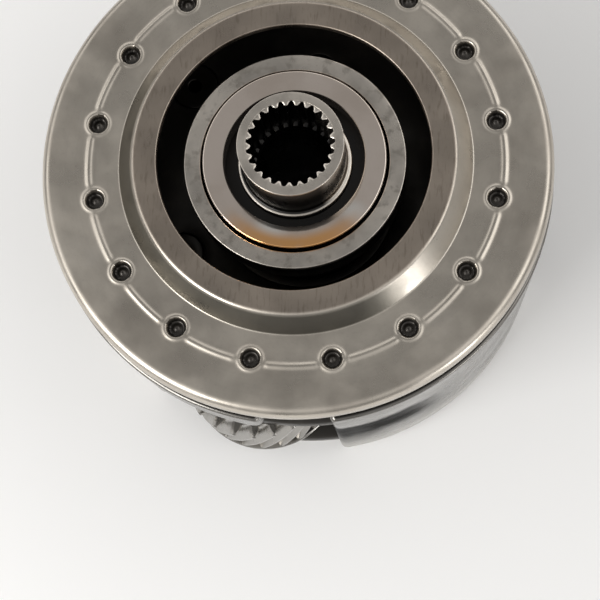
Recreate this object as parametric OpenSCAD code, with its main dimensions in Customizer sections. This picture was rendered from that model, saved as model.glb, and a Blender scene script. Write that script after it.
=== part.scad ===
/* [Cover plate] */
// Outer radius of the cover plate
cover_r = 78; // [70:0.5:85]
// Inner radius of the cover plate's central opening
cover_hole_r = 41.3; // [38:0.1:45]
// Sheet thickness of the cover plate
cover_t = 2.5; // [1.5:0.1:4]
// Height of the raised inner ring above the outer annulus
cover_step = 5.8; // [3:0.1:9]
// Radius where the raised inner ring starts to slope down
cover_bend_r = 48.2; // [44:0.1:52]
// Radius where the slope meets the outer annulus
cover_foot_r = 54; // [50:0.1:58]
// Number of pressed dimples
dimple_n = 16; // [8:1:24]
// Radius of the dimple circle
dimple_pcr = 61.9; // [58:0.1:66]
// Radius of one dimple's pit
dimple_r = 2.65; // [2:0.05:4]
// Radius of the rib pressed between the dimples
rib_r = 63; // [60:0.1:68]

/* [Drum] */
// Outer radius of the carrier drum
drum_r = 78.8; // [72:0.1:90]
// Inner radius of the carrier drum
drum_bore_r = 75; // [68:0.1:80]
// Half angle of each planet window
window_half = 22; // [18:0.5:28]

/* [Gears] */
// Transverse module of every gear
gear_m = 2; // [1:0.1:3]
// Helix angle at the pitch circle
helix = 22; // [0:1:30]
// Circumferential backlash of each mesh
backlash = 0.5; // [0.1:0.05:1]
// Teeth of each long planet
long_z = 24; // [18:1:30]
// Teeth of each short planet
short_z = 18; // [15:1:24]
// Teeth of the large sun gear
large_z = 31; // [28:1:40]
// Teeth of the small sun gear
small_z = 26; // [20:1:34]
// Angle of the first long planet about the main axis
long_a = -106.5; // [-180:0.5:180]
// Turn of the large sun gear's first tooth from +X
sun_phase = 4.9; // [0:0.1:12]
// Thickness of the plain shoulder behind each long planet's teeth
shoulder_t = 2.6; // [1:0.1:5]

/* [Hub] */
// Teeth of the hub's inner spline
spline_z = 25; // [20:1:30]
// Turn of the spline's first space from +X
spline_phase = 3.3; // [0:0.1:14]
// Tip radius of the inner spline
spline_tip_r = 12; // [10:0.1:14]
// Root radius of the inner spline
spline_root_r = 13; // [11:0.1:15]
// Outer radius of the hub's nose
nose_r = 15.8; // [15:0.1:20]
// Outer radius of the collar at the foot of the nose
collar_r = 17.4; // [16:0.1:20]
// Outer radius of the hub's flange
flange_r = 33.8; // [30:0.1:38]

/* [Heights above the back face] */
// Front face of the hub
hub_z = 108.5; // [100:0.5:130]
// Top of the cover plate's outer annulus
annulus_z = 92.2; // [85:0.1:100]
// Lower edge of the cover plate's skirt
skirt_z = 86; // [80:0.5:90]
// Front edge of the drum
drum_top_z = 80.5; // [75:0.5:86]
// Underside of the front carrier plate
front_z = 44; // [36:0.5:50]
// Upper side of the back carrier plate
back_z = 7; // [5:0.5:10]

/* [Hidden] */
$fn = 96;
planets = [0, 1, 2];
long_r = gear_m * long_z / 2;
short_r = gear_m * short_z / 2;
large_r = gear_m * large_z / 2;
small_r = gear_m * small_z / 2;
// Distances of the planet axes from the main axis
long_c = long_r + large_r;
short_c = short_r + small_r;
// Angle between a long planet and its short planet, by the cosine rule
pair_a = acos((long_c * long_c + short_c * short_c - pow(long_r + short_r, 2))
    / (2 * long_c * short_c));
wash_t = 1.2;
play = 0.2;
long_z0 = back_z + wash_t + play;
long_z1 = front_z - wash_t - play;
short_z0 = long_z0 + shoulder_t + 0.4;
short_z1 = short_z0 + 14;
small_z1 = short_z1 - 0.9;
large_z0 = small_z1 + 3.6;
large_z1 = long_z1 - 0.1;
pin_long_r = 8;
pin_short_r = 7;
bush_long_r = 10.5;
bush_short_r = 9.5;
run = 0.05;
tube_r = 27;
seat_r = 20;
hub_bore_r = 11.5;
front_t = 6;
// Height where every gear's phase is counted from
phase_z = 24;
addendum = gear_m;
dedendum = 1.25 * gear_m;
pressure = 20;
steel = [0.49, 0.47, 0.44];
dark = [0.2, 0.2, 0.19];
polished = [0.62, 0.6, 0.57];
gear_grey = [0.68, 0.66, 0.63];
bronze = [0.62, 0.5, 0.3];

function polar(r, a) = [r * cos(a), r * sin(a)];
function involute(r, base_r) =
    let (c = min(1, base_r / r), a = acos(c)) tan(a) * 180 / PI - a;
// Half of a tooth's angle at radius r
function half_tooth(r, pitch_r, z) =
    let (base_r = pitch_r * cos(pressure))
    90 / z - backlash / 4 / pitch_r * 180 / PI
        + involute(pitch_r, base_r) - involute(max(r, base_r), base_r);
// Outline of a gear with its first tooth centred on +X
function gear_points(z) =
    let (pitch_r = gear_m * z / 2, root_r = pitch_r - dedendum, tip_r = pitch_r + addendum)
    [for (i = [0 : z - 1])
        for (p = [[root_r, -1], [pitch_r, -1], [tip_r, -1], [tip_r, 1], [pitch_r, 1], [root_r, 1]])
            polar(p[0], 360 / z * i + p[1] * half_tooth(p[0], pitch_r, z))];
// Turn of a gear's teeth per millimetre of height; hand is 1 or -1
function lead(z, hand) = hand * tan(helix) / (gear_m * z / 2) * 180 / PI;
// Phase of a gear that meshes with another in direction psi from it
function mesh_phase(psi, phase_a, z_a, z_b) =
    psi + 180 - 180 / z_b + (psi - phase_a) * z_a / z_b;

function long_angle(i) = long_a + 120 * i;
function short_angle(i) = long_angle(i) - pair_a;
function pair_dir(i) =
    let (d = polar(short_c, short_angle(i)) - polar(long_c, long_angle(i))) atan2(d[1], d[0]);
function long_phase(i) = mesh_phase(long_angle(i), sun_phase, large_z, long_z);
function short_phase(i) = mesh_phase(pair_dir(i), long_phase(i), long_z, short_z);
small_phase = mesh_phase(short_angle(0) + 180, short_phase(0), short_z, small_z);

// Helical gear from z0 to z1 with a plain bore, and a plain shoulder below its teeth if given
module gear(z, hand, phase, z0, z1, bore_r, slices, shoulder = 0) {
    k = lead(z, hand);
    foot = shoulder > 0 ? z0 + shoulder - 0.5 : z0;
    difference() {
        union() {
            translate([0, 0, foot]) rotate([0, 0, phase + k * (foot - phase_z)])
                linear_extrude(height = z1 - foot, twist = -k * (z1 - foot), slices = slices)
                    polygon(gear_points(z));
            if (shoulder > 0) translate([0, 0, z0])
                cylinder(r = gear_m * z / 2 + addendum + 0.2, h = shoulder);
        }
        translate([0, 0, z0 - 1]) cylinder(r = bore_r, h = z1 - z0 + 2);
    }
}

// Plain ring standing on z0
module ring(r_out, r_in, z0, z1) {
    difference() {
        translate([0, 0, z0]) cylinder(r = r_out, h = z1 - z0);
        translate([0, 0, z0 - 1]) cylinder(r = r_in, h = z1 - z0 + 2);
    }
}

module at_long(i) { translate(concat(polar(long_c, long_angle(i)), 0)) children(); }
module at_short(i) { translate(concat(polar(short_c, short_angle(i)), 0)) children(); }

// Pressed sheet section, from the inner edge out over the rounded rim
module cover_section() {
    top = annulus_z + cover_step;
    edge = 3.6;
    arc = [for (a = [90 : -15 : 0])
        [cover_r - edge + edge * cos(a), annulus_z - edge + edge * sin(a)]];
    arc_in = [for (a = [0 : 15 : 90])
        [cover_r - edge + (edge - cover_t) * cos(a),
         annulus_z - edge + (edge - cover_t) * sin(a)]];
    polygon(concat(
        [[cover_hole_r, top - cover_t], [cover_hole_r, top - 0.5], [cover_hole_r + 0.5, top],
         [cover_bend_r - 0.6, top], [cover_bend_r + 0.6, top - 0.4],
         [cover_foot_r - 0.6, annulus_z + 0.4], [cover_foot_r + 0.8, annulus_z]],
        arc,
        [[cover_r, skirt_z], [cover_r - cover_t, skirt_z]],
        arc_in,
        [[cover_foot_r, annulus_z - cover_t], [cover_foot_r - 1.6, annulus_z - cover_t + 0.6],
         [cover_bend_r - 1, top - cover_t]]));
}

module dimple_places() {
    for (i = [0 : dimple_n - 1]) rotate([0, 0, 360 / dimple_n * (i + 0.5)]) children();
}

module cover_plate() color(steel) {
    gap_a = 4.6;
    difference() {
        union() {
            rotate_extrude() cover_section();
            dimple_places() translate([dimple_pcr, 0, annulus_z - 0.5])
                cylinder(r1 = 4.4, r2 = 3.4, h = 1.1, $fn = 48);
            dimple_places() rotate([0, 0, gap_a])
                rotate_extrude(angle = 360 / dimple_n - 2 * gap_a)
                    translate([rib_r, annulus_z - 0.5])
                        polygon([[-1.6, 0], [-0.8, 1.1], [0.8, 1.1], [1.6, 0]]);
        }
        dimple_places() translate([dimple_pcr, 0, annulus_z - 1.4])
            cylinder(r = dimple_r, h = 3, $fn = 48);
    }
}

module cover_seat_ring() color(dark) {
    top = annulus_z - cover_t;
    rotate_extrude() polygon([
        [68, drum_top_z], [76.5, drum_top_z], [76.5, skirt_z - 1.5], [73.8, skirt_z - 1.5],
        [73.8, top], [68, top]]);
}

// Plain cup wall behind the windows, in front of the planets
module inner_drum() color(dark) ring(65, 62, front_z + front_t, drum_top_z + 4);

// Wedge that cuts the drum's wall between two angles and two heights
module sector(a0, a1, z0, z1) {
    translate([0, 0, z0]) linear_extrude(height = z1 - z0)
        polygon([polar(60, a0), polar(120, a0), polar(120, a1), polar(60, a1)]);
}

// Thin-walled cylinder with three planet windows, open below and, on one side, at the front
module carrier_drum() color(steel) {
    edge = 6;
    open_a = 18;
    slot_z = 65;
    difference() {
        rotate_extrude() polygon(concat(
            [[drum_bore_r, edge - edge * sin(60)]],
            [for (a = [-60 : 15 : 0]) [drum_r - edge + edge * cos(a), edge + edge * sin(a)]],
            [[drum_r, drum_top_z - 0.8], [drum_r - 0.8, drum_top_z], [drum_bore_r, drum_top_z]]));
        for (i = planets) rotate([0, 0, long_angle(i)]) {
            sector(-window_half, window_half, -1, slot_z);
            sector(window_half - open_a, window_half, slot_z - 1, drum_top_z + 1);
        }
    }
}

module pin_holes(z0, h) {
    for (i = planets) {
        at_long(i) translate([0, 0, z0]) cylinder(r = pin_long_r, h = h);
        at_short(i) translate([0, 0, z0]) cylinder(r = pin_short_r, h = h);
    }
}

module front_carrier_plate() color(dark) {
    difference() {
        rotate_extrude() polygon([
            [30, front_z], [drum_bore_r, front_z], [drum_bore_r, front_z + front_t - 1],
            [drum_bore_r - 1, front_z + front_t], [30, front_z + front_t]]);
        pin_holes(front_z - 1, front_t + 2);
    }
}

module back_carrier_plate() color(steel) {
    difference() {
        rotate_extrude() polygon([
            [24, 0.8], [24.8, 0], [drum_bore_r - 1.2, 0], [drum_bore_r, 1.2],
            [drum_bore_r, back_z], [24, back_z]]);
        pin_holes(-1, back_z + 2);
    }
}

module front_bush() color(bronze) ring(30, tube_r + run, front_z, front_z + front_t);
module back_bush() color(bronze) ring(24, 21 + run, 0.5, back_z);
module small_sun_washer() color(bronze) ring(27, 22, back_z, back_z + wash_t);

// Spline space profile cut from the hub's nose
module spline_cut(z0, h) {
    pitch = 360 / spline_z;
    translate([0, 0, z0]) linear_extrude(height = h) polygon(
        [for (i = [0 : spline_z - 1])
            for (p = [[spline_tip_r - 1, -0.42], [spline_root_r, -0.15], [spline_root_r, 0.15],
                      [spline_tip_r - 1, 0.42]])
                polar(p[0], spline_phase + pitch * (i + p[1]))]);
}

module splined_hub() color(steel) {
    race_seat_z = annulus_z - 4;
    flange_top = annulus_z + 0.3;
    difference() {
        rotate_extrude() polygon([
            [hub_bore_r, large_z0 - 3.4], [seat_r - 0.8, large_z0 - 3.4],
            [seat_r, large_z0 - 2.6], [seat_r, front_z - 0.6], [tube_r, front_z - 0.6],
            [tube_r, skirt_z - 4], [flange_r - 1, skirt_z - 4], [flange_r, skirt_z - 3],
            [flange_r, flange_top - 0.8], [flange_r - 0.8, flange_top],
            [28.6, flange_top], [28.6, race_seat_z + 1], [27.8, race_seat_z],
            [collar_r, race_seat_z], [collar_r, race_seat_z + 2.8],
            [nose_r, race_seat_z + 3.4],
            [nose_r, hub_z - 0.8], [nose_r - 0.8, hub_z], [spline_root_r + 0.5, hub_z],
            [hub_bore_r, hub_z - 1.6]]);
        spline_cut(hub_z - 19, 25);
        translate([0, 0, hub_z - 21]) cylinder(r = spline_tip_r, h = 30);
    }
}

module thrust_race() color(polished) {
    z0 = annulus_z - 4;
    top = annulus_z + 2.2;
    rotate_extrude() polygon([
        [21.3, z0], [27.8, z0], [27.8, top - 0.7], [27.1, top], [22, top], [21.3, top - 0.7]]);
}

module large_sun_gear() color(gear_grey)
    gear(large_z, -1, sun_phase, large_z0, large_z1, seat_r, 3);
module sun_washer() color(bronze) ring(26.5, seat_r, large_z0 - 1.4, large_z0);
module hub_snap_ring() color(dark) ring(22, seat_r, large_z0 - 2.4, large_z0 - 1.4);

module small_sun_gear() color(gear_grey) {
    gear(small_z, 1, small_phase, long_z0 + 0.1, small_z1, 15, 3);
    ring(21, 15, 0.5, long_z0 + 0.1);
}

module long_planet(i) color(gear_grey)
    at_long(i) gear(long_z, 1, long_phase(i), long_z0, long_z1, bush_long_r, 5, shoulder_t);
module long_bush(i) color(bronze)
    at_long(i) ring(bush_long_r, pin_long_r + run, long_z0, long_z1);
module long_pin(i) color(steel)
    at_long(i) ring(pin_long_r, 2, 0.5, front_z + front_t);
module long_washer_front(i) color(bronze)
    at_long(i) ring(19, pin_long_r, front_z - wash_t, front_z);
module long_washer_back(i) color(bronze)
    at_long(i) ring(19, pin_long_r, back_z, back_z + wash_t);

module short_planet(i) color(gear_grey)
    at_short(i) gear(short_z, -1, short_phase(i), short_z0, short_z1, bush_short_r, 3);
module short_bush(i) color(bronze)
    at_short(i) ring(bush_short_r, pin_short_r + run, short_z0, short_z1);
module short_pin(i) color(steel)
    at_short(i) ring(pin_short_r, 2, 0.5, front_z + front_t);
module short_washer_front(i) color(bronze)
    at_short(i) ring(13.5, pin_short_r, short_z1 + play, short_z1 + play + wash_t);
module short_washer_back(i) color(bronze)
    at_short(i) ring(13.5, pin_short_r, back_z, short_z0 - play);
module short_spacer(i) color(dark)
    at_short(i) ring(9.5, pin_short_r, short_z1 + play + wash_t, front_z);

cover_plate();
cover_seat_ring();
inner_drum();
carrier_drum();
front_carrier_plate();
back_carrier_plate();
front_bush();
back_bush();
small_sun_washer();
splined_hub();
thrust_race();
large_sun_gear();
sun_washer();
hub_snap_ring();
small_sun_gear();
for (i = planets) {
    long_planet(i);
    long_bush(i);
    long_pin(i);
    long_washer_front(i);
    long_washer_back(i);
    short_planet(i);
    short_bush(i);
    short_pin(i);
    short_washer_front(i);
    short_washer_back(i);
    short_spacer(i);
}
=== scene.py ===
from math import acos, atan2, cos, degrees, hypot, pi, radians, sin, sqrt, tan

import bpy
import numpy as np
from mathutils import Matrix, Vector
from mathutils.geometry import delaunay_2d_cdt

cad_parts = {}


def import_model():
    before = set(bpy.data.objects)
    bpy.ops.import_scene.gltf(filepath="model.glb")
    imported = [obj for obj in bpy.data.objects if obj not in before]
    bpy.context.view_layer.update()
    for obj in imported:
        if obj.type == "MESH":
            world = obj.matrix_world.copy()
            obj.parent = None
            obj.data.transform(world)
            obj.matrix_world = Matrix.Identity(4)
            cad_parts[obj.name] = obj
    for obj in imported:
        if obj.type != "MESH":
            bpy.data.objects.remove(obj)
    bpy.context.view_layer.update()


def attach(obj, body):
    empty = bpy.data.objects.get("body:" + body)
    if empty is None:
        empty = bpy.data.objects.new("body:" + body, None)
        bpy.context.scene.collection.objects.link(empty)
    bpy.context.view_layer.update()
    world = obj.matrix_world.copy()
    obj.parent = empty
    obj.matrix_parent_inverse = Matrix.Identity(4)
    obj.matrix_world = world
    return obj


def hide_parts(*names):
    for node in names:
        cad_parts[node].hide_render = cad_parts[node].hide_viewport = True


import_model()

MM = 0.001

# ---------------------------------------------------------------- dimensions, in millimetres
RIM_Z = 90.0    # height of the plane that the camera's place is measured from
COVER_R, COVER_HOLE_R, COVER_T = 78.0, 41.3, 2.5
ANNULUS_Z, RING_Z = 92.2, 98.0
SKIRT_Z = 86.0
DIMPLE_N, DIMPLE_PCR, DIMPLE_R, RIB_R = 16, 61.9, 2.65, 63.0
DRUM_R, DRUM_IN, DRUM_TOP = 78.8, 75.0, 80.5
WINDOW_HALF, SLOT_OPEN, SLOT_Z = 24.5, 15.5, 65.0
FRONT_Z, BACK_Z = 44.0, 7.0
GEAR_M, HELIX, BACKLASH, PRESSURE = 2.0, 22.0, 0.5, 20.0
LONG_Z, SHORT_Z, LARGE_Z, SMALL_Z = 24, 18, 31, 26
LONG_A, SUN_PHASE = -106.5, 4.9
PHASE_Z = 24.0
LONG_Z0, LONG_Z1, SHOULDER = 8.4, 42.6, 2.6
SHORT_Z0, SHORT_Z1 = 11.4, 25.4
SMALL_Z0, SMALL_Z1 = 8.5, 24.5
LARGE_Z0, LARGE_Z1 = 28.1, 42.5
SPLINE_N, SPLINE_TIP, SPLINE_ROOT, SPLINE_PHASE = 25, 11.8, 13.1, 3.3
HUB_Z, HUB_BORE, NOSE_R, COLLAR_R, FLANGE_R = 108.5, 11.5, 15.8, 17.4, 33.8
RACE_SEAT_Z = 88.2
LONG_PIN_R, LONG_BUSH_R, SHORT_PIN_R, SHORT_BUSH_R = 8.0, 10.5, 7.0, 9.5
PIN_BORE_R, PIN_Z0, RUN_GAP, END_GAP = 2.0, 0.5, 0.05, 0.2
WASHER_T, PLATE_T = 1.2, 6.0
LONG_WASHER_R, SHORT_WASHER_R = 19.0, 13.5


# ---------------------------------------------------------------- mesh helpers
def make_object(name, verts, faces, sharp=35.0):
    """A mesh object from points in millimetres, smooth except at edges sharper than sharp degrees."""
    mesh = bpy.data.meshes.new(name)
    mesh.from_pydata([tuple(v) for v in np.asarray(verts, float) * MM], [], faces)
    mesh.validate(clean_customdata=False)
    mesh.update()
    mesh.shade_smooth()
    mesh.set_sharp_from_angle(angle=radians(sharp))
    obj = bpy.data.objects.new(name, mesh)
    bpy.context.scene.collection.objects.link(obj)
    return obj


def finish_piece(obj, material, body, node):
    obj.data.materials.append(material)
    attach(obj, body)
    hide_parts(node)


def fillet(points, steps=5):
    """A closed outline of (r, z, radius) corners, with each corner rounded to its radius."""
    out = []
    n = len(points)
    for i in range(n):
        p, rad = Vector(points[i][:2]), points[i][2]
        a = Vector(points[i - 1][:2]) - p
        b = Vector(points[(i + 1) % n][:2]) - p
        if rad <= 0 or a.length < 1e-6 or b.length < 1e-6:
            out.append(tuple(p))
            continue
        ang = a.angle(b)
        cut = min(rad / tan(ang / 2), 0.49 * a.length, 0.49 * b.length)
        rad = cut * tan(ang / 2)
        a.normalize()
        b.normalize()
        centre = p + (a + b).normalized() * (rad / sin(ang / 2))
        start, end = p + a * cut - centre, p + b * cut - centre
        t0 = atan2(start.y, start.x)
        turn = (atan2(end.y, end.x) - t0 + pi) % (2 * pi) - pi
        for k in range(steps + 1):
            t = t0 + turn * k / steps
            out.append((centre.x + rad * cos(t), centre.y + rad * sin(t)))
    return out


def grid_faces(rows, cols):
    """Quads of a grid of points that closes on itself both ways."""
    faces = []
    for j in range(rows):
        for i in range(cols):
            low, high = j * cols, (j + 1) % rows * cols
            right = (i + 1) % cols
            faces.append((low + i, low + right, high + right, high + i))
    return faces


def lathe(name, outline, segments=192, centre=(0.0, 0.0)):
    """A solid of revolution from a closed anticlockwise loop of (r, z)."""
    t = np.linspace(0, 2 * pi, segments, endpoint=False)
    verts = [np.c_[r * np.cos(t) + centre[0], r * np.sin(t) + centre[1], np.full(segments, z)]
             for r, z in outline]
    return make_object(name, np.concatenate(verts), grid_faces(len(outline), segments))


def rounded_ring(name, r_out, r_in, z0, z1, edge, centre, segments):
    return lathe(name, fillet([(r_in, z0, edge), (r_out, z0, edge), (r_out, z1, edge),
                               (r_in, z1, edge)], 3), segments, centre)


def smoothstep(x, a, b):
    t = np.clip((x - a) / (b - a), 0, 1)
    return t * t * (3 - 2 * t)


# ---------------------------------------------------------------- gears
def involute_angle(r, base_r):
    a = acos(min(1.0, base_r / r))
    return tan(a) - a


def half_tooth(r, teeth):
    """Half a tooth's angle in radians at radius r."""
    pitch_r = GEAR_M * teeth / 2
    base_r = pitch_r * cos(radians(PRESSURE))
    return (pi / 2 / teeth - BACKLASH / 4 / pitch_r
            + involute_angle(pitch_r, base_r) - involute_angle(max(r, base_r), base_r))


def tooth_outline(teeth, trim):
    """One pitch of a gear's outline as (radius, angle), with the tooth trimmed all round by trim."""
    pitch_r = GEAR_M * teeth / 2
    root_r, tip_r = pitch_r - 1.25 * GEAR_M, pitch_r + GEAR_M - trim
    tip_round = 0.22
    half = []
    space = pi / teeth
    root_half = half_tooth(root_r, teeth)
    flank0 = root_r + 0.7
    half.append((root_r, -space))
    half.append((root_r, -(root_half + (space - root_half) * 0.62)))
    half.append((root_r + 0.12, -(root_half + (space - root_half) * 0.34)))
    half.append((root_r + 0.36, -(root_half + (space - root_half) * 0.12)))
    for k in range(7):
        r = flank0 + (tip_r - tip_round - flank0) * k / 6
        half.append((r, -half_tooth(r, teeth) + trim / r))
    top = half_tooth(tip_r, teeth) - trim / tip_r
    half.append((tip_r - 0.07, -top - 0.02 * tip_round / tip_r))
    half.append((tip_r, -max(top - tip_round / tip_r, 0.15 * top)))
    mirrored = [(r, -a) for r, a in reversed(half[1:])]
    return half + mirrored


def lead(teeth, hand):
    """Turn of the teeth in radians for each millimetre of height."""
    return hand * tan(radians(HELIX)) / (GEAR_M * teeth / 2)


def mesh_phase(psi, phase_a, teeth_a, teeth_b):
    return psi + 180 - 180 / teeth_b + (psi - phase_a) * teeth_a / teeth_b


def helical_gear(name, teeth, hand, phase, z0, z1, bore_r, centre=(0, 0), shoulder=0.0, tube=None,
                 slices=14):
    """A helical gear with trimmed tooth ends, a plain bore, and a turned recess in each face."""
    k = lead(teeth, hand)
    root_r = GEAR_M * teeth / 2 - 1.25 * GEAR_M
    tip_r = GEAR_M * teeth / 2 + GEAR_M
    trim = 0.7
    foot = z0 + shoulder if shoulder else z0 + trim
    levels = [] if shoulder else [(z0, trim)]
    levels += [(foot + (z1 - trim - foot) * i / slices, 0.0) for i in range(slices + 1)]
    levels += [(z1, trim)]

    def outline(z, cut):
        pts = [(r, 2 * pi * i / teeth + a + radians(phase) + k * (z - PHASE_Z))
               for i in range(teeth) for r, a in tooth_outline(teeth, cut)]
        return np.array(pts)

    def circle(r, z, angles):
        return np.c_[r * np.cos(angles), r * np.sin(angles), np.full(len(angles), z)]

    rows = [np.c_[p[:, 0] * np.cos(p[:, 1]), p[:, 0] * np.sin(p[:, 1]), np.full(len(p), z)]
            for z, p in ((z, outline(z, cut)) for z, cut in levels)]
    top, low = outline(z1, trim)[:, 1], outline(foot if shoulder else z0, trim)[:, 1]
    dish = [(root_r - 0.9, 0), (root_r - 1.5, 0), (root_r - 2.0, 0.6), (bore_r + 2.6, 0.6),
            (bore_r + 2.1, 0), (bore_r + 0.5, 0), (bore_r, 0.5)]
    rows += [circle(r, z1 - d, top) for r, d in dish]
    below = [circle(r, z0 + d, low) for r, d in reversed(dish)]
    if shoulder:
        below += [circle(r, z, low) for r, z in (
            (tip_r - 0.4, z0), (tip_r + 0.2, z0 + 0.6), (tip_r + 0.2, foot - 0.5),
            (tip_r - 0.1, foot - 0.2), (tip_r - 0.3, foot - 0.05))]
    if tube:
        below = [circle(r, z, low) for r, z in (
            (bore_r, tube[1] + 0.5), (bore_r + 0.5, tube[1]), (tube[0] - 0.5, tube[1]),
            (tube[0], tube[1] + 0.5), (tube[0], z0 - 0.4), (tube[0] + 0.4, z0))]
    rows += below
    verts = np.concatenate(rows) + np.array([centre[0], centre[1], 0])
    return make_object(name, verts, grid_faces(len(rows), len(rows[0])), 32)


def polar(r, a):
    return r * cos(radians(a)), r * sin(radians(a))


LONG_C = GEAR_M * (LONG_Z + LARGE_Z) / 2
SHORT_C = GEAR_M * (SHORT_Z + SMALL_Z) / 2
PAIR_A = degrees(acos((LONG_C ** 2 + SHORT_C ** 2 - (GEAR_M * (LONG_Z + SHORT_Z) / 2) ** 2)
                      / (2 * LONG_C * SHORT_C)))


def long_angle(i):
    return LONG_A + 120 * i


def short_angle(i):
    return long_angle(i) - PAIR_A


def pair_dir(i):
    (ax, ay), (bx, by) = polar(LONG_C, long_angle(i)), polar(SHORT_C, short_angle(i))
    return degrees(atan2(by - ay, bx - ax))


def long_phase(i):
    return mesh_phase(long_angle(i), SUN_PHASE, LARGE_Z, LONG_Z)


def short_phase(i):
    return mesh_phase(pair_dir(i), long_phase(i), LONG_Z, SHORT_Z)


SMALL_PHASE = mesh_phase(short_angle(0) + 180, short_phase(0), SHORT_Z, SMALL_Z)


# ---------------------------------------------------------------- cover plate
def cover_plate():
    """Pressed disc: its upper side is a polar grid that carries the pits, craters and ribs."""
    per = 56
    cols = DIMPLE_N * per
    t = np.linspace(0, 2 * pi, cols, endpoint=False)
    edge = 3.6
    key = fillet([(COVER_HOLE_R, RING_Z - COVER_T, 0.3), (COVER_HOLE_R, RING_Z - 0.2, 0.5),
                  (48.6, RING_Z + 0.4, 1.9), (53.7, ANNULUS_Z - 0.1, 0.9),
                  (COVER_R, ANNULUS_Z, edge), (COVER_R, SKIRT_Z, 0.5),
                  (COVER_R - 1.6, SKIRT_Z, 0.5), (COVER_R - COVER_T, SKIRT_Z + 1.4, 0.6),
                  (COVER_R - COVER_T, ANNULUS_Z - COVER_T, edge - COVER_T),
                  (52.6, ANNULUS_Z - COVER_T, 1.0), (47.6, RING_Z - COVER_T, 1.0)], 6)
    dense = []
    for i, (r, z) in enumerate(key):
        dense.append((r, z))
        r2, z2 = key[(i + 1) % len(key)]
        if abs(z - ANNULUS_Z) < 0.3 and abs(z2 - ANNULUS_Z) < 0.3 and r2 - r > 5:
            dense += [(v, z + (z2 - z) * (v - r) / (r2 - r)) for v in np.arange(57.2, 67.6, 0.34)]
            dense += [(70.5, ANNULUS_Z)]
    verts = []
    for r, z in dense:
        zz = np.full(cols, z)
        if 57 < r < 68 and z > ANNULUS_Z - 0.6:
            a = (t * DIMPLE_N / (2 * pi)) % 1.0 - 0.5
            arc = a * 2 * pi / DIMPLE_N
            rho = np.sqrt(r * r + DIMPLE_PCR ** 2 - 2 * r * DIMPLE_PCR * np.cos(arc))
            away = np.abs(arc) * RIB_R
            rib = 0.5 * np.exp(-((r - RIB_R) / 0.95) ** 2)
            rib *= smoothstep(away, 3.2, 5.6)
            crater = 0.36 * np.exp(-((rho - 3.45) / 0.65) ** 2)
            pit = 2.0 * (1 - smoothstep(rho, DIMPLE_R - 0.5, DIMPLE_R + 0.45))
            dome = 0.9 * (1 - smoothstep(rho, 0.0, DIMPLE_R - 0.7))
            zz = zz + rib + crater - pit + dome
        verts.append(np.c_[r * np.cos(t), r * np.sin(t), zz])
    faces = grid_faces(len(dense), cols)
    faces = [f[::-1] for f in faces]
    return make_object("cover", np.concatenate(verts), faces, 50)


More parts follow.
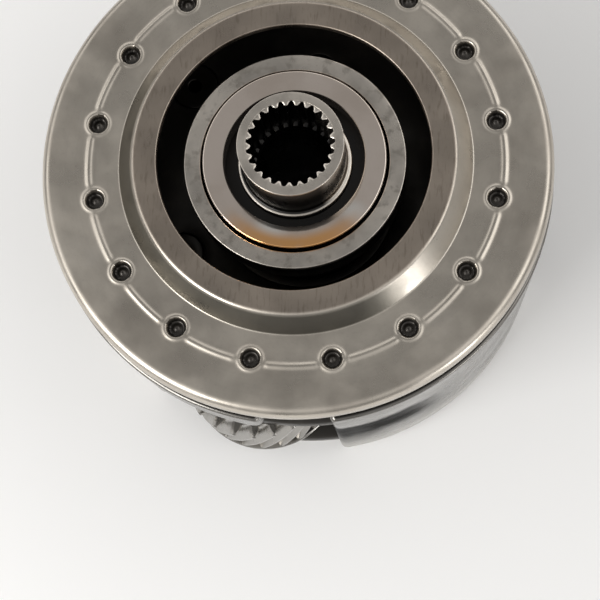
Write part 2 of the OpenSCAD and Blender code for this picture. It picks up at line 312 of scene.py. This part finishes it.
# ---------------------------------------------------------------- drum
def drum():
    """Thin drawn wall with three windows, open below and, on one side, at the front."""
    per_deg = DRUM_R * pi / 180
    w, seam = WINDOW_HALF * per_deg, 60 * per_deg
    x_open = (WINDOW_HALF - SLOT_OPEN) * per_deg
    foot, top, whole = 0.8, DRUM_TOP, 6 * seam
    left = [(-seam, foot, 0), (-w, foot, 4), (-w, SLOT_Z, 4), (x_open, SLOT_Z, 4),
            (x_open, top, 2), (-seam, top, 0)]
    right = [(w, foot, 4), (seam, foot, 0), (seam, top, 0), (w, top, 2)]
    rolled = [(0.0, 3.2), (0.12, 2.1), (0.45, 1.15), (1.15, 0.45), (2.1, 0.12), (3.2, 0.0)]
    rings = [(DRUM_R - a, b) for a, b in rolled] + [(DRUM_IN + 0.3, 0.0), (DRUM_IN, 0.3)]
    verts, faces, index = [], [], {}

    def vert(x, z, r):
        key = (round(x % whole, 2) % round(whole, 2), round(z, 3), round(r, 3))
        if key not in index:
            index[key] = len(verts)
            squeeze = 6 - sqrt(36 - (6 - z) ** 2) if z < 6 else 0
            r = DRUM_IN + (r - DRUM_IN) * (1 - squeeze / (DRUM_R - DRUM_IN))
            a = radians(x / per_deg + LONG_A)
            verts.append((r * cos(a), r * sin(a), z))
        return index[key]

    for shift in (0, 2 * seam, 4 * seam):
        for part in (left, right):
            corners = fillet(part, 6)
            p = []
            for i, a in enumerate(corners):
                b = corners[(i + 1) % len(corners)]
                n = max(1, int(hypot(b[0] - a[0], b[1] - a[1]) / 1.5))
                p += [(a[0] + (b[0] - a[0]) * k / n, a[1] + (b[1] - a[1]) * k / n)
                      for k in range(n)]
            p = np.array(p)
            d1, d0 = np.roll(p, -1, 0) - p, p - np.roll(p, 1, 0)
            n1 = np.c_[-d1[:, 1], d1[:, 0]] / np.linalg.norm(d1, axis=1)[:, None]
            n0 = np.c_[-d0[:, 1], d0[:, 0]] / np.linalg.norm(d0, axis=1)[:, None]
            inset = n0 + n1
            inset /= np.linalg.norm(inset, axis=1)[:, None]
            inset /= np.maximum(0.5, (inset * n1).sum(1))[:, None]
            on_seam = np.abs(np.abs(p[:, 0]) - seam) < 1e-3
            ends = (p[:, 1] < foot + 1e-3) | (p[:, 1] > top - 1e-3)
            inset[on_seam, 0] = 0
            inset[on_seam & ~ends, 1] = 0
            level = (0.15 + 0.85 * smoothstep(p[:, 1], foot, foot + 4))
            level *= 0.3 + 0.7 * smoothstep(top - p[:, 1], 0, 6)
            local = [(r, p + inset * (b * level)[:, None]) for r, b in rings]
            loops = [[vert(x + shift, z, r) for x, z in q] for r, q in local]
            m = len(p)
            for a, b in zip(loops[:-1], loops[1:]):
                faces += [(a[i], a[(i + 1) % m], b[(i + 1) % m], b[i]) for i in range(m)
                          if not (on_seam[i] and on_seam[(i + 1) % m])]
            for k, flip in ((0, False), (-1, True)):
                r, q = local[k]
                gx = np.arange(-seam + 2.6, seam, 2.6)
                gz = np.linspace(foot, top, 16)[1:-1]
                inner = [(x, z) for x in gx for z in gz
                         if np.hypot(q[:, 0] - x, q[:, 1] - z).min() > 1.3]
                points = [Vector(v) for v in q] + [Vector(v) for v in inner]
                out = delaunay_2d_cdt(points, [], [list(range(m))], 1, 1e-6)
                for f in out[2]:
                    tri = [loops[k][out[3][v][0]] if out[3][v] and out[3][v][0] < m
                           else vert(out[0][v].x + shift, out[0][v].y, r) for v in f]
                    faces.append(tuple(reversed(tri)) if flip else tuple(tri))
    return make_object("drum_wall", verts, [f[::-1] for f in faces], 40)


# ---------------------------------------------------------------- hub
def splined_hub():
    """Hub with a turned outside and a real internal spline in its nose."""
    per = 24
    cols = SPLINE_N * per
    t = np.linspace(0, 2 * pi, cols, endpoint=False) + radians(SPLINE_PHASE)
    phase = (np.arange(cols) % per) / per
    root = np.clip((0.40 - np.minimum(phase, 1 - phase)) / 0.32, 0, 1)
    low, seat = LARGE_Z0 - 3.4, RACE_SEAT_Z
    turned = fillet([(HUB_BORE, low, 0.5), (20.0, low, 0.6), (20.0, 43.4, 0.2), (27.0, 43.4, 0.5),
                     (27.0, 82.0, 1.5), (FLANGE_R, 82.0, 0.7), (FLANGE_R, 92.5, 0.5),
                     (28.7, 92.5, 0.25), (28.7, seat + 0.8, 0.3), (27.9, seat, 0.2),
                     (COLLAR_R, seat, 0.2), (COLLAR_R, seat + 2.8, 0.5),
                     (NOSE_R, seat + 3.2, 1.2), (NOSE_R, HUB_Z, 0.25),
                     (SPLINE_ROOT + 0.12, HUB_Z, 0.08)], 4)
    rows = [np.c_[r * np.cos(t), r * np.sin(t), np.full(cols, z)] for r, z in turned]
    for down, tip in ((0.08, 12.9), (0.25, 12.2), (0.4, SPLINE_TIP), (3, SPLINE_TIP),
                      (7, SPLINE_TIP), (12, SPLINE_TIP), (18.6, SPLINE_TIP)):
        r = tip + (SPLINE_ROOT - tip) * root
        rows.append(np.c_[r * np.cos(t), r * np.sin(t), np.full(cols, HUB_Z - down)])
    for r, z in ((SPLINE_TIP, HUB_Z - 19), (SPLINE_TIP, HUB_Z - 20.6), (HUB_BORE, HUB_Z - 21),
                 (HUB_BORE, 60)):
        rows.append(np.c_[r * np.cos(t), r * np.sin(t), np.full(cols, z)])
    return make_object("hub", np.concatenate(rows), grid_faces(len(rows), cols), 35)


def thrust_race():
    outline = fillet([(21.3, RACE_SEAT_Z, 0.2), (27.8, RACE_SEAT_Z, 0.2), (27.8, 94.3, 0.45),
                      (26.2, 94.4, 3), (23.2, 94.4, 3), (21.3, 94.2, 0.4)], 5)
    return lathe("race", outline, 256)


# ---------------------------------------------------------------- plates
def drilled_plate(name, r_out, r_in, z0, z1, holes, edge=0.8):
    """A turned plate with round holes; every edge has a small chamfer."""
    verts, faces, top, bottom = [], [], [], []

    def ring_of(cx, cy, r, count, z):
        start = len(verts)
        for i in range(count):
            a = 2 * pi * i / count
            verts.append((cx + r * cos(a), cy + r * sin(a), z))
        return list(range(start, start + count))

    for cx, cy, r, count, sign in ([(0, 0, r_out, 240, 1), (0, 0, r_in, 120, -1)]
                                   + [(x, y, hole, 64, -1) for x, y, hole in holes]):
        c = edge if sign > 0 else 0.4
        loops = [ring_of(cx, cy, r - sign * c * back, count, z) for back, z in (
            (1, z1), (0.3, z1 - c * 0.3), (0, z1 - c), (0, z0 + c), (0.3, z0 + c * 0.3), (1, z0))]
        for a, b in zip(loops[:-1], loops[1:]):
            for i in range(count):
                j = (i + 1) % count
                quad = (a[i], b[i], b[j], a[j])
                faces.append(quad if sign > 0 else quad[::-1])
        top.append(loops[0])
        bottom.append(loops[-1])
    for group, flip in ((top, False), (bottom, True)):
        ids = [i for loop in group for i in loop]
        local = {v: k for k, v in enumerate(ids)}
        pts = [Vector(verts[i][:2]) for i in ids]
        edges = [(local[loop[k]], local[loop[(k + 1) % len(loop)]]) for loop in group
                 for k in range(len(loop))]
        out = delaunay_2d_cdt(pts, edges, [], 0, 1e-7)
        z = verts[ids[0]][2]
        openings = [set(loop) for loop in group[1:]]
        for f in out[2]:
            tri = [ids[out[3][v][0]] for v in f]
            if not any(loop.issuperset(tri) for loop in openings):
                faces.append(tuple(reversed(tri)) if flip else tuple(tri))
    return make_object(name, verts, faces, 30)


# ---------------------------------------------------------------- materials
def new_material(name, metallic):
    mat = bpy.data.materials.new(name)
    mat.use_nodes = True
    tree = mat.node_tree
    shader = tree.nodes["Principled BSDF"]
    shader.inputs["Metallic"].default_value = metallic
    return mat, tree, shader


class Graph:
    """Short names for the nodes used below."""

    def __init__(self, tree):
        self.tree = tree
        self.at = self.add("ShaderNodeTexCoord").outputs["Object"]
        split = self.add("ShaderNodeSeparateXYZ")
        self.link(self.at, split.inputs[0])
        self.x, self.y, self.z = split.outputs
        self.r = self.math("SQRT", self.math("ADD", self.math("MULTIPLY", self.x, self.x),
                                             self.math("MULTIPLY", self.y, self.y)))

    def add(self, kind, **settings):
        node = self.tree.nodes.new(kind)
        for key, value in settings.items():
            setattr(node, key, value)
        return node

    def link(self, a, socket):
        if isinstance(a, (int, float, tuple)):
            socket.default_value = a
        else:
            self.tree.links.new(a, socket)

    def math(self, operation, a, b=0.0, clamp=False):
        node = self.add("ShaderNodeMath", operation=operation, use_clamp=clamp)
        self.link(a, node.inputs[0])
        self.link(b, node.inputs[1])
        return node.outputs[0]

    def noise(self, scale, detail=4.0, vector=None, rough=0.55):
        node = self.add("ShaderNodeTexNoise")
        self.link(vector or self.at, node.inputs["Vector"])
        self.link(scale, node.inputs["Scale"])
        self.link(detail, node.inputs["Detail"])
        self.link(rough, node.inputs["Roughness"])
        return node.outputs["Fac"]

    def span(self, value, a, b, low=0.0, high=1.0):
        node = self.add("ShaderNodeMapRange", interpolation_type="SMOOTHSTEP")
        for k, v in enumerate((value, a, b, low, high)):
            self.link(v, node.inputs[k])
        return node.outputs[0]

    def mix(self, factor, a, b):
        node = self.add("ShaderNodeMix", data_type="RGBA")
        self.link(factor, node.inputs[0])
        self.link(a if not isinstance(a, tuple) else (*a, 1.0), node.inputs[6])
        self.link(b if not isinstance(b, tuple) else (*b, 1.0), node.inputs[7])
        return node.outputs[2]

    def combine(self, x, y, z):
        node = self.add("ShaderNodeCombineXYZ")
        for k, v in enumerate((x, y, z)):
            self.link(v, node.inputs[k])
        return node.outputs[0]

    def bump(self, shader, height, distance, strength=1.0):
        node = self.add("ShaderNodeBump")
        self.link(height, node.inputs["Height"])
        self.link(distance, node.inputs["Distance"])
        self.link(strength, node.inputs["Strength"])
        self.link(node.outputs[0], shader.inputs["Normal"])


def steel(name, tone, stained, rough, metallic=1.0, turned=0.0, grain=0.5, extra=None):
    """Worked steel: two tones in soft patches, uneven gloss, turning marks and a fine grain."""
    mat, tree, shader = new_material(name, metallic)
    g = Graph(tree)
    g.shader = shader
    patches = g.span(g.noise(38.0, 5.0), 0.42, 0.68)
    marks = g.noise(1.0, 3.0, g.combine(g.math("MULTIPLY", g.r, 2600.0),
                                        g.math("MULTIPLY", g.z, 2600.0), 0.0))
    fine = g.noise(900.0, 3.0)
    colour = g.mix(patches, tone, stained)
    dark = tuple(0.72 * c for c in tone)
    colour = g.mix(g.math("MULTIPLY", g.span(marks, 0.5, 0.75), 0.5 * turned), colour, dark)
    colour = g.mix(g.math("MULTIPLY", g.span(fine, 0.52, 0.7), 0.35 * grain), colour, dark)
    if extra:
        colour = extra(g, colour)
    g.link(colour, shader.inputs["Base Color"])
    gloss = g.span(g.noise(70.0, 4.0), 0.3, 0.7, rough[0], rough[1])
    g.link(gloss, shader.inputs["Roughness"])
    height = g.math("ADD", g.math("MULTIPLY", marks, turned), g.math("MULTIPLY", fine, grain))
    g.bump(shader, height, 0.00002)
    return mat


def cover_colour(g, colour):
    """Browner inner ring, pale water marks outside it, painted shade in the dimples and on one side
    of the slope.
    """
    ring = g.span(g.r, 0.0478, 0.0490, 1.0, 0.0)
    colour = g.mix(g.math("MULTIPLY", ring, 0.75), colour, (0.35, 0.29, 0.24))
    streaks = g.noise(1.0, 3.0, g.combine(g.math("MULTIPLY", g.x, 1100.0),
                                          g.math("MULTIPLY", g.y, 220.0), 0.0))
    streaks = g.math("MULTIPLY", g.span(streaks, 0.5, 0.72), ring)
    colour = g.mix(g.math("MULTIPLY", streaks, 0.45), colour, (0.20, 0.165, 0.13))
    # Painted shade: the slope between the bend and the annulus is darkened on its lower-left and
    # bottom side.
    shaded_slope = g.math("MULTIPLY", g.span(g.r, 0.0487, 0.0497), g.span(g.r, 0.0533, 0.0541, 1.0, 0.0))
    shaded_side = g.math("ADD", g.math("MULTIPLY", g.y, 0.75), g.math("MULTIPLY", g.x, 0.66))
    shaded_side = g.span(g.math("DIVIDE", shaded_side, g.r), -0.05, -0.35)
    colour = g.mix(g.math("MULTIPLY", shaded_slope, g.math("MULTIPLY", shaded_side, 0.85)), colour,
                   (0.09, 0.085, 0.07))
    pale = g.span(g.noise(24.0, 6.0, rough=0.65), 0.56, 0.72)
    pale = g.math("MULTIPLY", pale, g.span(g.r, 0.056, 0.064))
    colour = g.mix(g.math("MULTIPLY", pale, 0.35), colour, (0.66, 0.62, 0.57))
    angle = g.math("MULTIPLY", g.math("ARCTAN2", g.y, g.x), DIMPLE_N / (2 * pi))
    arc = g.math("MULTIPLY", g.math("SUBTRACT", g.math("FRACT", angle), 0.5),
                 2 * pi / DIMPLE_N * DIMPLE_PCR * MM)
    out = g.math("SUBTRACT", g.r, DIMPLE_PCR * MM)
    away = g.math("SQRT", g.math("ADD", g.math("MULTIPLY", arc, arc),
                                 g.math("MULTIPLY", out, out)))
    # Painted shade: the dimples' pits are darkened.
    pit = g.span(away, 0.0024, 0.0031, 1.0, 0.0)
    return g.mix(pit, colour, (0.07, 0.065, 0.06))


def drum_colour(g, colour):
    """A painted dark reflection with a broken outline beside one window, a painted lighter reflection
    low on the wall, and painted shade on the top land and inner face.
    """
    # Painted reflection: a dark band with a noise-broken outline on the wall past one window, between
    # about 22 and 65 mm up.
    past = g.math("SUBTRACT", g.math("ARCTAN2", g.y, g.x), radians(LONG_A + WINDOW_HALF - 2))
    past = g.math("MULTIPLY", g.math("FRACT", g.math("DIVIDE", past, 2 * pi)), 360.0)
    rough = g.math("SUBTRACT", g.noise(45.0, 5.0), 0.5)
    height = g.math("ADD", g.z, g.math("MULTIPLY", rough, 0.016))
    sharp = g.span(height, 0.058, 0.065, 1.0, 0.0)
    soft = g.span(height, 0.022, 0.044)
    along = g.span(g.math("ADD", past, g.math("MULTIPLY", rough, 14.0)), 16.0, 36.0, 1.0, 0.0)
    painted_dark = g.math("MULTIPLY", g.math("MULTIPLY", sharp, soft), along)
    # Painted reflection: the wall is lighter towards the bottom, below about 24 mm.
    colour = g.mix(g.span(g.z, 0.008, 0.024, 0.7, 0.0), colour, (0.62, 0.60, 0.56))
    # Painted shade: the top land and the inner face are darkened.
    top = g.math("MULTIPLY", g.span(g.z, 0.0801, 0.0804), g.span(g.r, 0.0783, 0.0786, 1.0, 0.0))
    inner_face_shade = g.span(g.r, 0.0752, 0.0756, 1.0, 0.0)
    painted_dark = g.math("MAXIMUM", g.math("MULTIPLY", painted_dark, 0.93), g.math("MAXIMUM", top, inner_face_shade))
    # The painted dark parts also get almost no specular.
    g.link(g.mix(painted_dark, (1.0, 1.0, 1.0), (0.06, 0.06, 0.06)), g.shader.inputs["Specular Tint"])
    return g.mix(painted_dark, colour, (0.03, 0.028, 0.026))


def hub_colour(g, colour):
    """Painted shade on the nose wall, bore and groove, weaker towards +X as a painted reflection; end
    face and mottled flange stay bright, and the collar edge is left bright as a painted highlight.
    """
    # Painted reflection: the shade on the nose wall and bore is weaker towards +X.
    right = g.span(g.math("DIVIDE", g.x, g.r), 0.52, 0.72, 1.0, 0.35)
    wall = g.math("MULTIPLY", g.math("MULTIPLY", g.span(g.r, 0.0170, 0.0173, 1.0, 0.0), right),
                  g.span(g.z, 0.1076, 0.1079, 1.0, 0.0))
    # Painted shade in the groove below the collar.
    groove_shade = g.span(g.z, 0.0908, 0.0914, 1.0, 0.0)
    # Painted highlight: the collar's edge is kept out of the shade.
    collar = g.math("MULTIPLY", g.span(g.z, 0.0900, 0.0906),
                    g.span(g.math("ABSOLUTE", g.math("SUBTRACT", g.r, 0.0171)), 0.0003, 0.0005,
                           1.0, 0.0))
    shade = g.math("MULTIPLY", g.math("MAXIMUM", wall, groove_shade), g.math("SUBTRACT", 1.0, collar))
    mottle = g.math("MULTIPLY", g.span(g.noise(260.0, 5.0), 0.5, 0.66),
                    g.span(g.r, 0.0283, 0.0288, 0.25, 0.7))
    colour = g.mix(mottle, colour, (0.36, 0.33, 0.29))
    return g.mix(shade, colour, (0.035, 0.034, 0.033))


def plate_colour(g, colour):
    """Only the outer faces at the back keep the bright steel; the rest is painted shade."""
    return g.mix(g.span(g.z, 0.0005, 0.0022), colour, (0.06, 0.057, 0.052))


def race_colour(g, colour):
    """Straw to orange tint, strongest on the outer edge towards -Y, with two painted highlights."""
    low = g.span(g.math("DIVIDE", g.y, g.r), -0.55, -0.97)
    outer = g.span(g.r, 0.0225, 0.0262)
    tint = g.math("MULTIPLY", low, outer)
    tint = g.math("MULTIPLY", tint, g.span(g.noise(120.0), 0.3, 0.5, 0.6, 0.95))
    # Painted highlights: two near-white patches on the race's face.
    for angle, radius, wide in ((-107.0, 24.0, 7.0), (-43.0, 25.2, 5.0)):
        far = g.math("SQRT", g.math("ADD", *[
            g.math("POWER", g.math("SUBTRACT", axis, radius * MM * part), 2.0)
            for axis, part in ((g.x, cos(radians(angle))), (g.y, sin(radians(angle))))]))
        painted_gleam = g.span(far, 0.0008, wide * MM, 1.0, 0.0)
        colour = g.mix(painted_gleam, colour, (1.0, 0.98, 0.94))
    return g.mix(tint, colour, (1.0, 0.53, 0.20))


PRESSED = steel("pressed_steel", (0.59, 0.545, 0.48), (0.50, 0.457, 0.40), (0.26, 0.40),
                turned=0.25, extra=cover_colour)
DRUM = steel("drum_steel", (0.25, 0.24, 0.225), (0.20, 0.19, 0.175), (0.20, 0.32),
             turned=0.15, extra=drum_colour)
PLATE = steel("plate_steel", (0.44, 0.42, 0.39), (0.36, 0.34, 0.31), (0.28, 0.42), turned=0.5,
              extra=plate_colour)
# Painted shade: a near-black steel for the pieces deep inside the carrier.
SHADE_DARK = steel("dark_steel", (0.055, 0.052, 0.048), (0.10, 0.092, 0.08), (0.30, 0.5),
             metallic=0.85, turned=0.3)
TURNED = steel("turned_steel", (0.70, 0.65, 0.585), (0.46, 0.43, 0.39), (0.24, 0.36), turned=0.7,
               extra=hub_colour)
POLISHED = steel("polished_steel", (0.90, 0.80, 0.72), (0.78, 0.68, 0.60), (0.09, 0.16),
                 turned=0.12, grain=0.12, extra=race_colour)
GEAR = steel("gear_steel", (0.40, 0.385, 0.36), (0.32, 0.305, 0.285), (0.22, 0.34), grain=0.3)
BRONZE = steel("bronze", (0.52, 0.38, 0.20), (0.43, 0.29, 0.15), (0.28, 0.42), turned=0.5)


# ---------------------------------------------------------------- pieces
def ring_piece(name, r_out, r_in, z0, z1, centre, material, body, node, edge=0.3):
    piece = rounded_ring(name, r_out, r_in, z0, z1, edge, centre, 192 if r_out > 30 else 96)
    finish_piece(piece, material, body, node)


finish_piece(cover_plate(), PRESSED, "carrier", "cover_plate")
finish_piece(drum(), DRUM, "carrier", "carrier_drum")
seat = fillet([(68, DRUM_TOP, 0.4), (76.5, DRUM_TOP, 0.6), (76.5, 84.5, 0.6), (73.8, 84.5, 0.4),
               (73.8, ANNULUS_Z - COVER_T, 0.3), (68, ANNULUS_Z - COVER_T, 0.4)], 3)
finish_piece(lathe("seat_ring", seat), SHADE_DARK, "carrier", "cover_seat_ring")
ring_piece("inner_wall", 65, 62, FRONT_Z + PLATE_T, 85, (0, 0), SHADE_DARK, "carrier",
           "inner_drum", edge=0.8)

holes = [(*polar(LONG_C, long_angle(i)), LONG_PIN_R) for i in range(3)]
holes += [(*polar(SHORT_C, short_angle(i)), SHORT_PIN_R) for i in range(3)]
finish_piece(drilled_plate("front_plate", 75, 30, FRONT_Z, FRONT_Z + PLATE_T, holes), SHADE_DARK,
             "carrier", "front_carrier_plate")
finish_piece(drilled_plate("back_plate", 75, 24, 0, BACK_Z, holes, 1.2), PLATE,
             "carrier", "back_carrier_plate")
ring_piece("front_bearing", 30, 27.05, FRONT_Z, FRONT_Z + PLATE_T, (0, 0), SHADE_DARK,
           "carrier", "front_bush")
ring_piece("back_bearing", 24, 21.05, 0.5, BACK_Z, (0, 0), BRONZE, "carrier",
           "back_bush")
ring_piece("small_sun_shim", 27, 22, BACK_Z, 8.2, (0, 0), BRONZE, "carrier",
           "small_sun_washer")

finish_piece(splined_hub(), TURNED, "large_sun", "splined_hub")
finish_piece(thrust_race(), POLISHED, "large_sun", "thrust_race")
ring_piece("large_sun_shim", 26.5, 20, 26.7, LARGE_Z0, (0, 0), BRONZE, "large_sun",
           "sun_washer")
ring_piece("hub_clip", 22, 20, 25.7, 26.7, (0, 0), SHADE_DARK, "large_sun",
           "hub_snap_ring")
finish_piece(helical_gear("sun_large", LARGE_Z, -1, SUN_PHASE, LARGE_Z0, LARGE_Z1, 20.0), GEAR,
             "large_sun", "large_sun_gear")
finish_piece(helical_gear("sun_small", SMALL_Z, 1, SMALL_PHASE, SMALL_Z0, SMALL_Z1, 15.0,
                          tube=(21.0, 0.5)),
             GEAR, "small_sun", "small_sun_gear")

for i in range(3):
    n = i + 1
    at, body = polar(LONG_C, long_angle(i)), f"long_planet_{n}"
    finish_piece(helical_gear(f"planet_long_{n}", LONG_Z, 1, long_phase(i), LONG_Z0, LONG_Z1,
                              LONG_BUSH_R, at, shoulder=SHOULDER),
                 GEAR, body, body)
    ring_piece(f"bearing_long_{n}", LONG_BUSH_R, LONG_PIN_R + RUN_GAP, LONG_Z0, LONG_Z1, at,
               BRONZE, body, f"long_bush_{n}")
    ring_piece(f"axle_long_{n}", LONG_PIN_R, PIN_BORE_R, PIN_Z0, FRONT_Z + PLATE_T, at,
               PLATE, "carrier", f"long_pin_{n}", edge=0.7)
    ring_piece(f"shim_long_front_{n}", LONG_WASHER_R, LONG_PIN_R, FRONT_Z - WASHER_T, FRONT_Z, at,
               BRONZE, "carrier", f"long_washer_front_{n}")
    ring_piece(f"shim_long_back_{n}", LONG_WASHER_R, LONG_PIN_R, BACK_Z, BACK_Z + WASHER_T, at,
               BRONZE, "carrier", f"long_washer_back_{n}")
    at, body = polar(SHORT_C, short_angle(i)), f"short_planet_{n}"
    finish_piece(helical_gear(f"planet_short_{n}", SHORT_Z, -1, short_phase(i), SHORT_Z0, SHORT_Z1,
                              SHORT_BUSH_R, at), GEAR, body, body)
    ring_piece(f"bearing_short_{n}", SHORT_BUSH_R, SHORT_PIN_R + RUN_GAP, SHORT_Z0, SHORT_Z1, at,
               BRONZE, body, f"short_bush_{n}")
    ring_piece(f"axle_short_{n}", SHORT_PIN_R, PIN_BORE_R, PIN_Z0, FRONT_Z + PLATE_T, at,
               PLATE, "carrier", f"short_pin_{n}", edge=0.7)
    ring_piece(f"shim_short_front_{n}", SHORT_WASHER_R, SHORT_PIN_R, SHORT_Z1 + END_GAP,
               SHORT_Z1 + END_GAP + WASHER_T, at,
               BRONZE, "carrier", f"short_washer_front_{n}")
    ring_piece(f"shim_short_back_{n}", SHORT_WASHER_R, SHORT_PIN_R, BACK_Z, SHORT_Z0 - END_GAP, at,
               BRONZE, "carrier", f"short_washer_back_{n}")
    ring_piece(f"spacer_short_{n}", SHORT_BUSH_R, SHORT_PIN_R, SHORT_Z1 + END_GAP + WASHER_T,
               FRONT_Z, at, SHADE_DARK, "carrier", f"short_spacer_{n}")


# ---------------------------------------------------------------- floor, light, camera
def floor():
    mat, tree, shader = new_material("floor", 0.0)
    g = Graph(tree)
    g.link(g.mix(g.noise(3.0), (0.95, 0.95, 0.95), (0.97, 0.97, 0.97)),
           shader.inputs["Base Color"])
    shader.inputs["Roughness"].default_value = 0.9
    size = 3000
    obj = make_object("floor", [(-size, -size, 0), (size, -size, 0), (size, size, 0),
                                (-size, size, 0)], [(0, 1, 2, 3)])
    obj.data.materials.append(mat)


def world():
    """Overhead a dim patch that upward faces reflect, round it a bright ring, below it dimmer sky."""
    sky = bpy.data.worlds.new("studio")
    bpy.context.scene.world = sky
    sky.use_nodes = True
    tree = sky.node_tree
    coord = tree.nodes.new("ShaderNodeTexCoord")

    def falloff(axis, start, end, low, high):
        dot = tree.nodes.new("ShaderNodeVectorMath")
        dot.operation = "DOT_PRODUCT"
        tree.links.new(coord.outputs["Generated"], dot.inputs[0])
        dot.inputs[1].default_value = Vector(axis).normalized()
        span = tree.nodes.new("ShaderNodeMapRange")
        span.interpolation_type = "SMOOTHSTEP"
        tree.links.new(dot.outputs["Value"], span.inputs[0])
        for k, v in enumerate((cos(radians(start)), cos(radians(end)), low, high)):
            span.inputs[k + 1].default_value = v
        return span.outputs[0]

    ring = falloff((0, 0, 1), 70, 50, 0.0, 1.7)
    patch = falloff((-0.08, 0.22, 0.97), 50, 24, 1.0, 0.0)
    front = falloff((0.05, -0.8, 0.6), 62, 22, 1.0, 0.2)
    side = tree.nodes.new("ShaderNodeMath")
    side.operation = "MULTIPLY"
    tree.links.new(patch, side.inputs[0])
    tree.links.new(front, side.inputs[1])
    level = tree.nodes.new("ShaderNodeMath")
    level.operation = "MULTIPLY_ADD"
    tree.links.new(ring, level.inputs[0])
    tree.links.new(side.outputs[0], level.inputs[1])
    level.inputs[2].default_value = 0.3
    back = tree.nodes["Background"]
    back.inputs["Color"].default_value = (1.0, 0.985, 0.965, 1.0)
    tree.links.new(level.outputs[0], back.inputs["Strength"])


def soft_light(name, place, aim, size, power, colour=(1, 1, 1)):
    data = bpy.data.lights.new(name, "AREA")
    data.shape = "RECTANGLE"
    data.size, data.size_y = size
    data.energy = power
    data.color = colour
    obj = bpy.data.objects.new(name, data)
    bpy.context.scene.collection.objects.link(obj)
    obj.location = place
    obj.rotation_euler = (Vector(aim) - Vector(place)).to_track_quat("-Z", "Y").to_euler()


def camera():
    """Weak tilt from the axis; the upper part of the disc runs off the top of the frame."""
    n = Vector((-0.0746, -0.2065, -0.9756)).normalized()
    u = n.cross(Vector((0, 1, 0))).normalized()
    v = n.cross(u)
    axes = Matrix((u, v, n)).transposed()
    centre = Vector((-1.50, -41.8, 425.1))
    place = (axes.transposed() @ -centre + Vector((0, 0, RIM_Z))) * MM
    data = bpy.data.cameras.new("camera")
    data.sensor_width, data.lens = 36.0, 84.0
    obj = bpy.data.objects.new("camera", data)
    bpy.context.scene.collection.objects.link(obj)
    turn = (Matrix.Diagonal((1, -1, -1)) @ axes).transposed()
    obj.matrix_world = Matrix.Translation(place) @ turn.to_4x4()
    bpy.context.scene.camera = obj


floor()
world()
soft_light("left", (-0.60, -0.50, 0.60), (0, 0, 0.09), (0.5, 0.3), 4.0, (1.0, 0.99, 0.97))
soft_light("right", (0.60, -0.54, 0.16), (0, 0, 0.09), (0.22, 0.16), 0.8)
camera()
bpy.context.scene.view_settings.view_transform = "Standard"
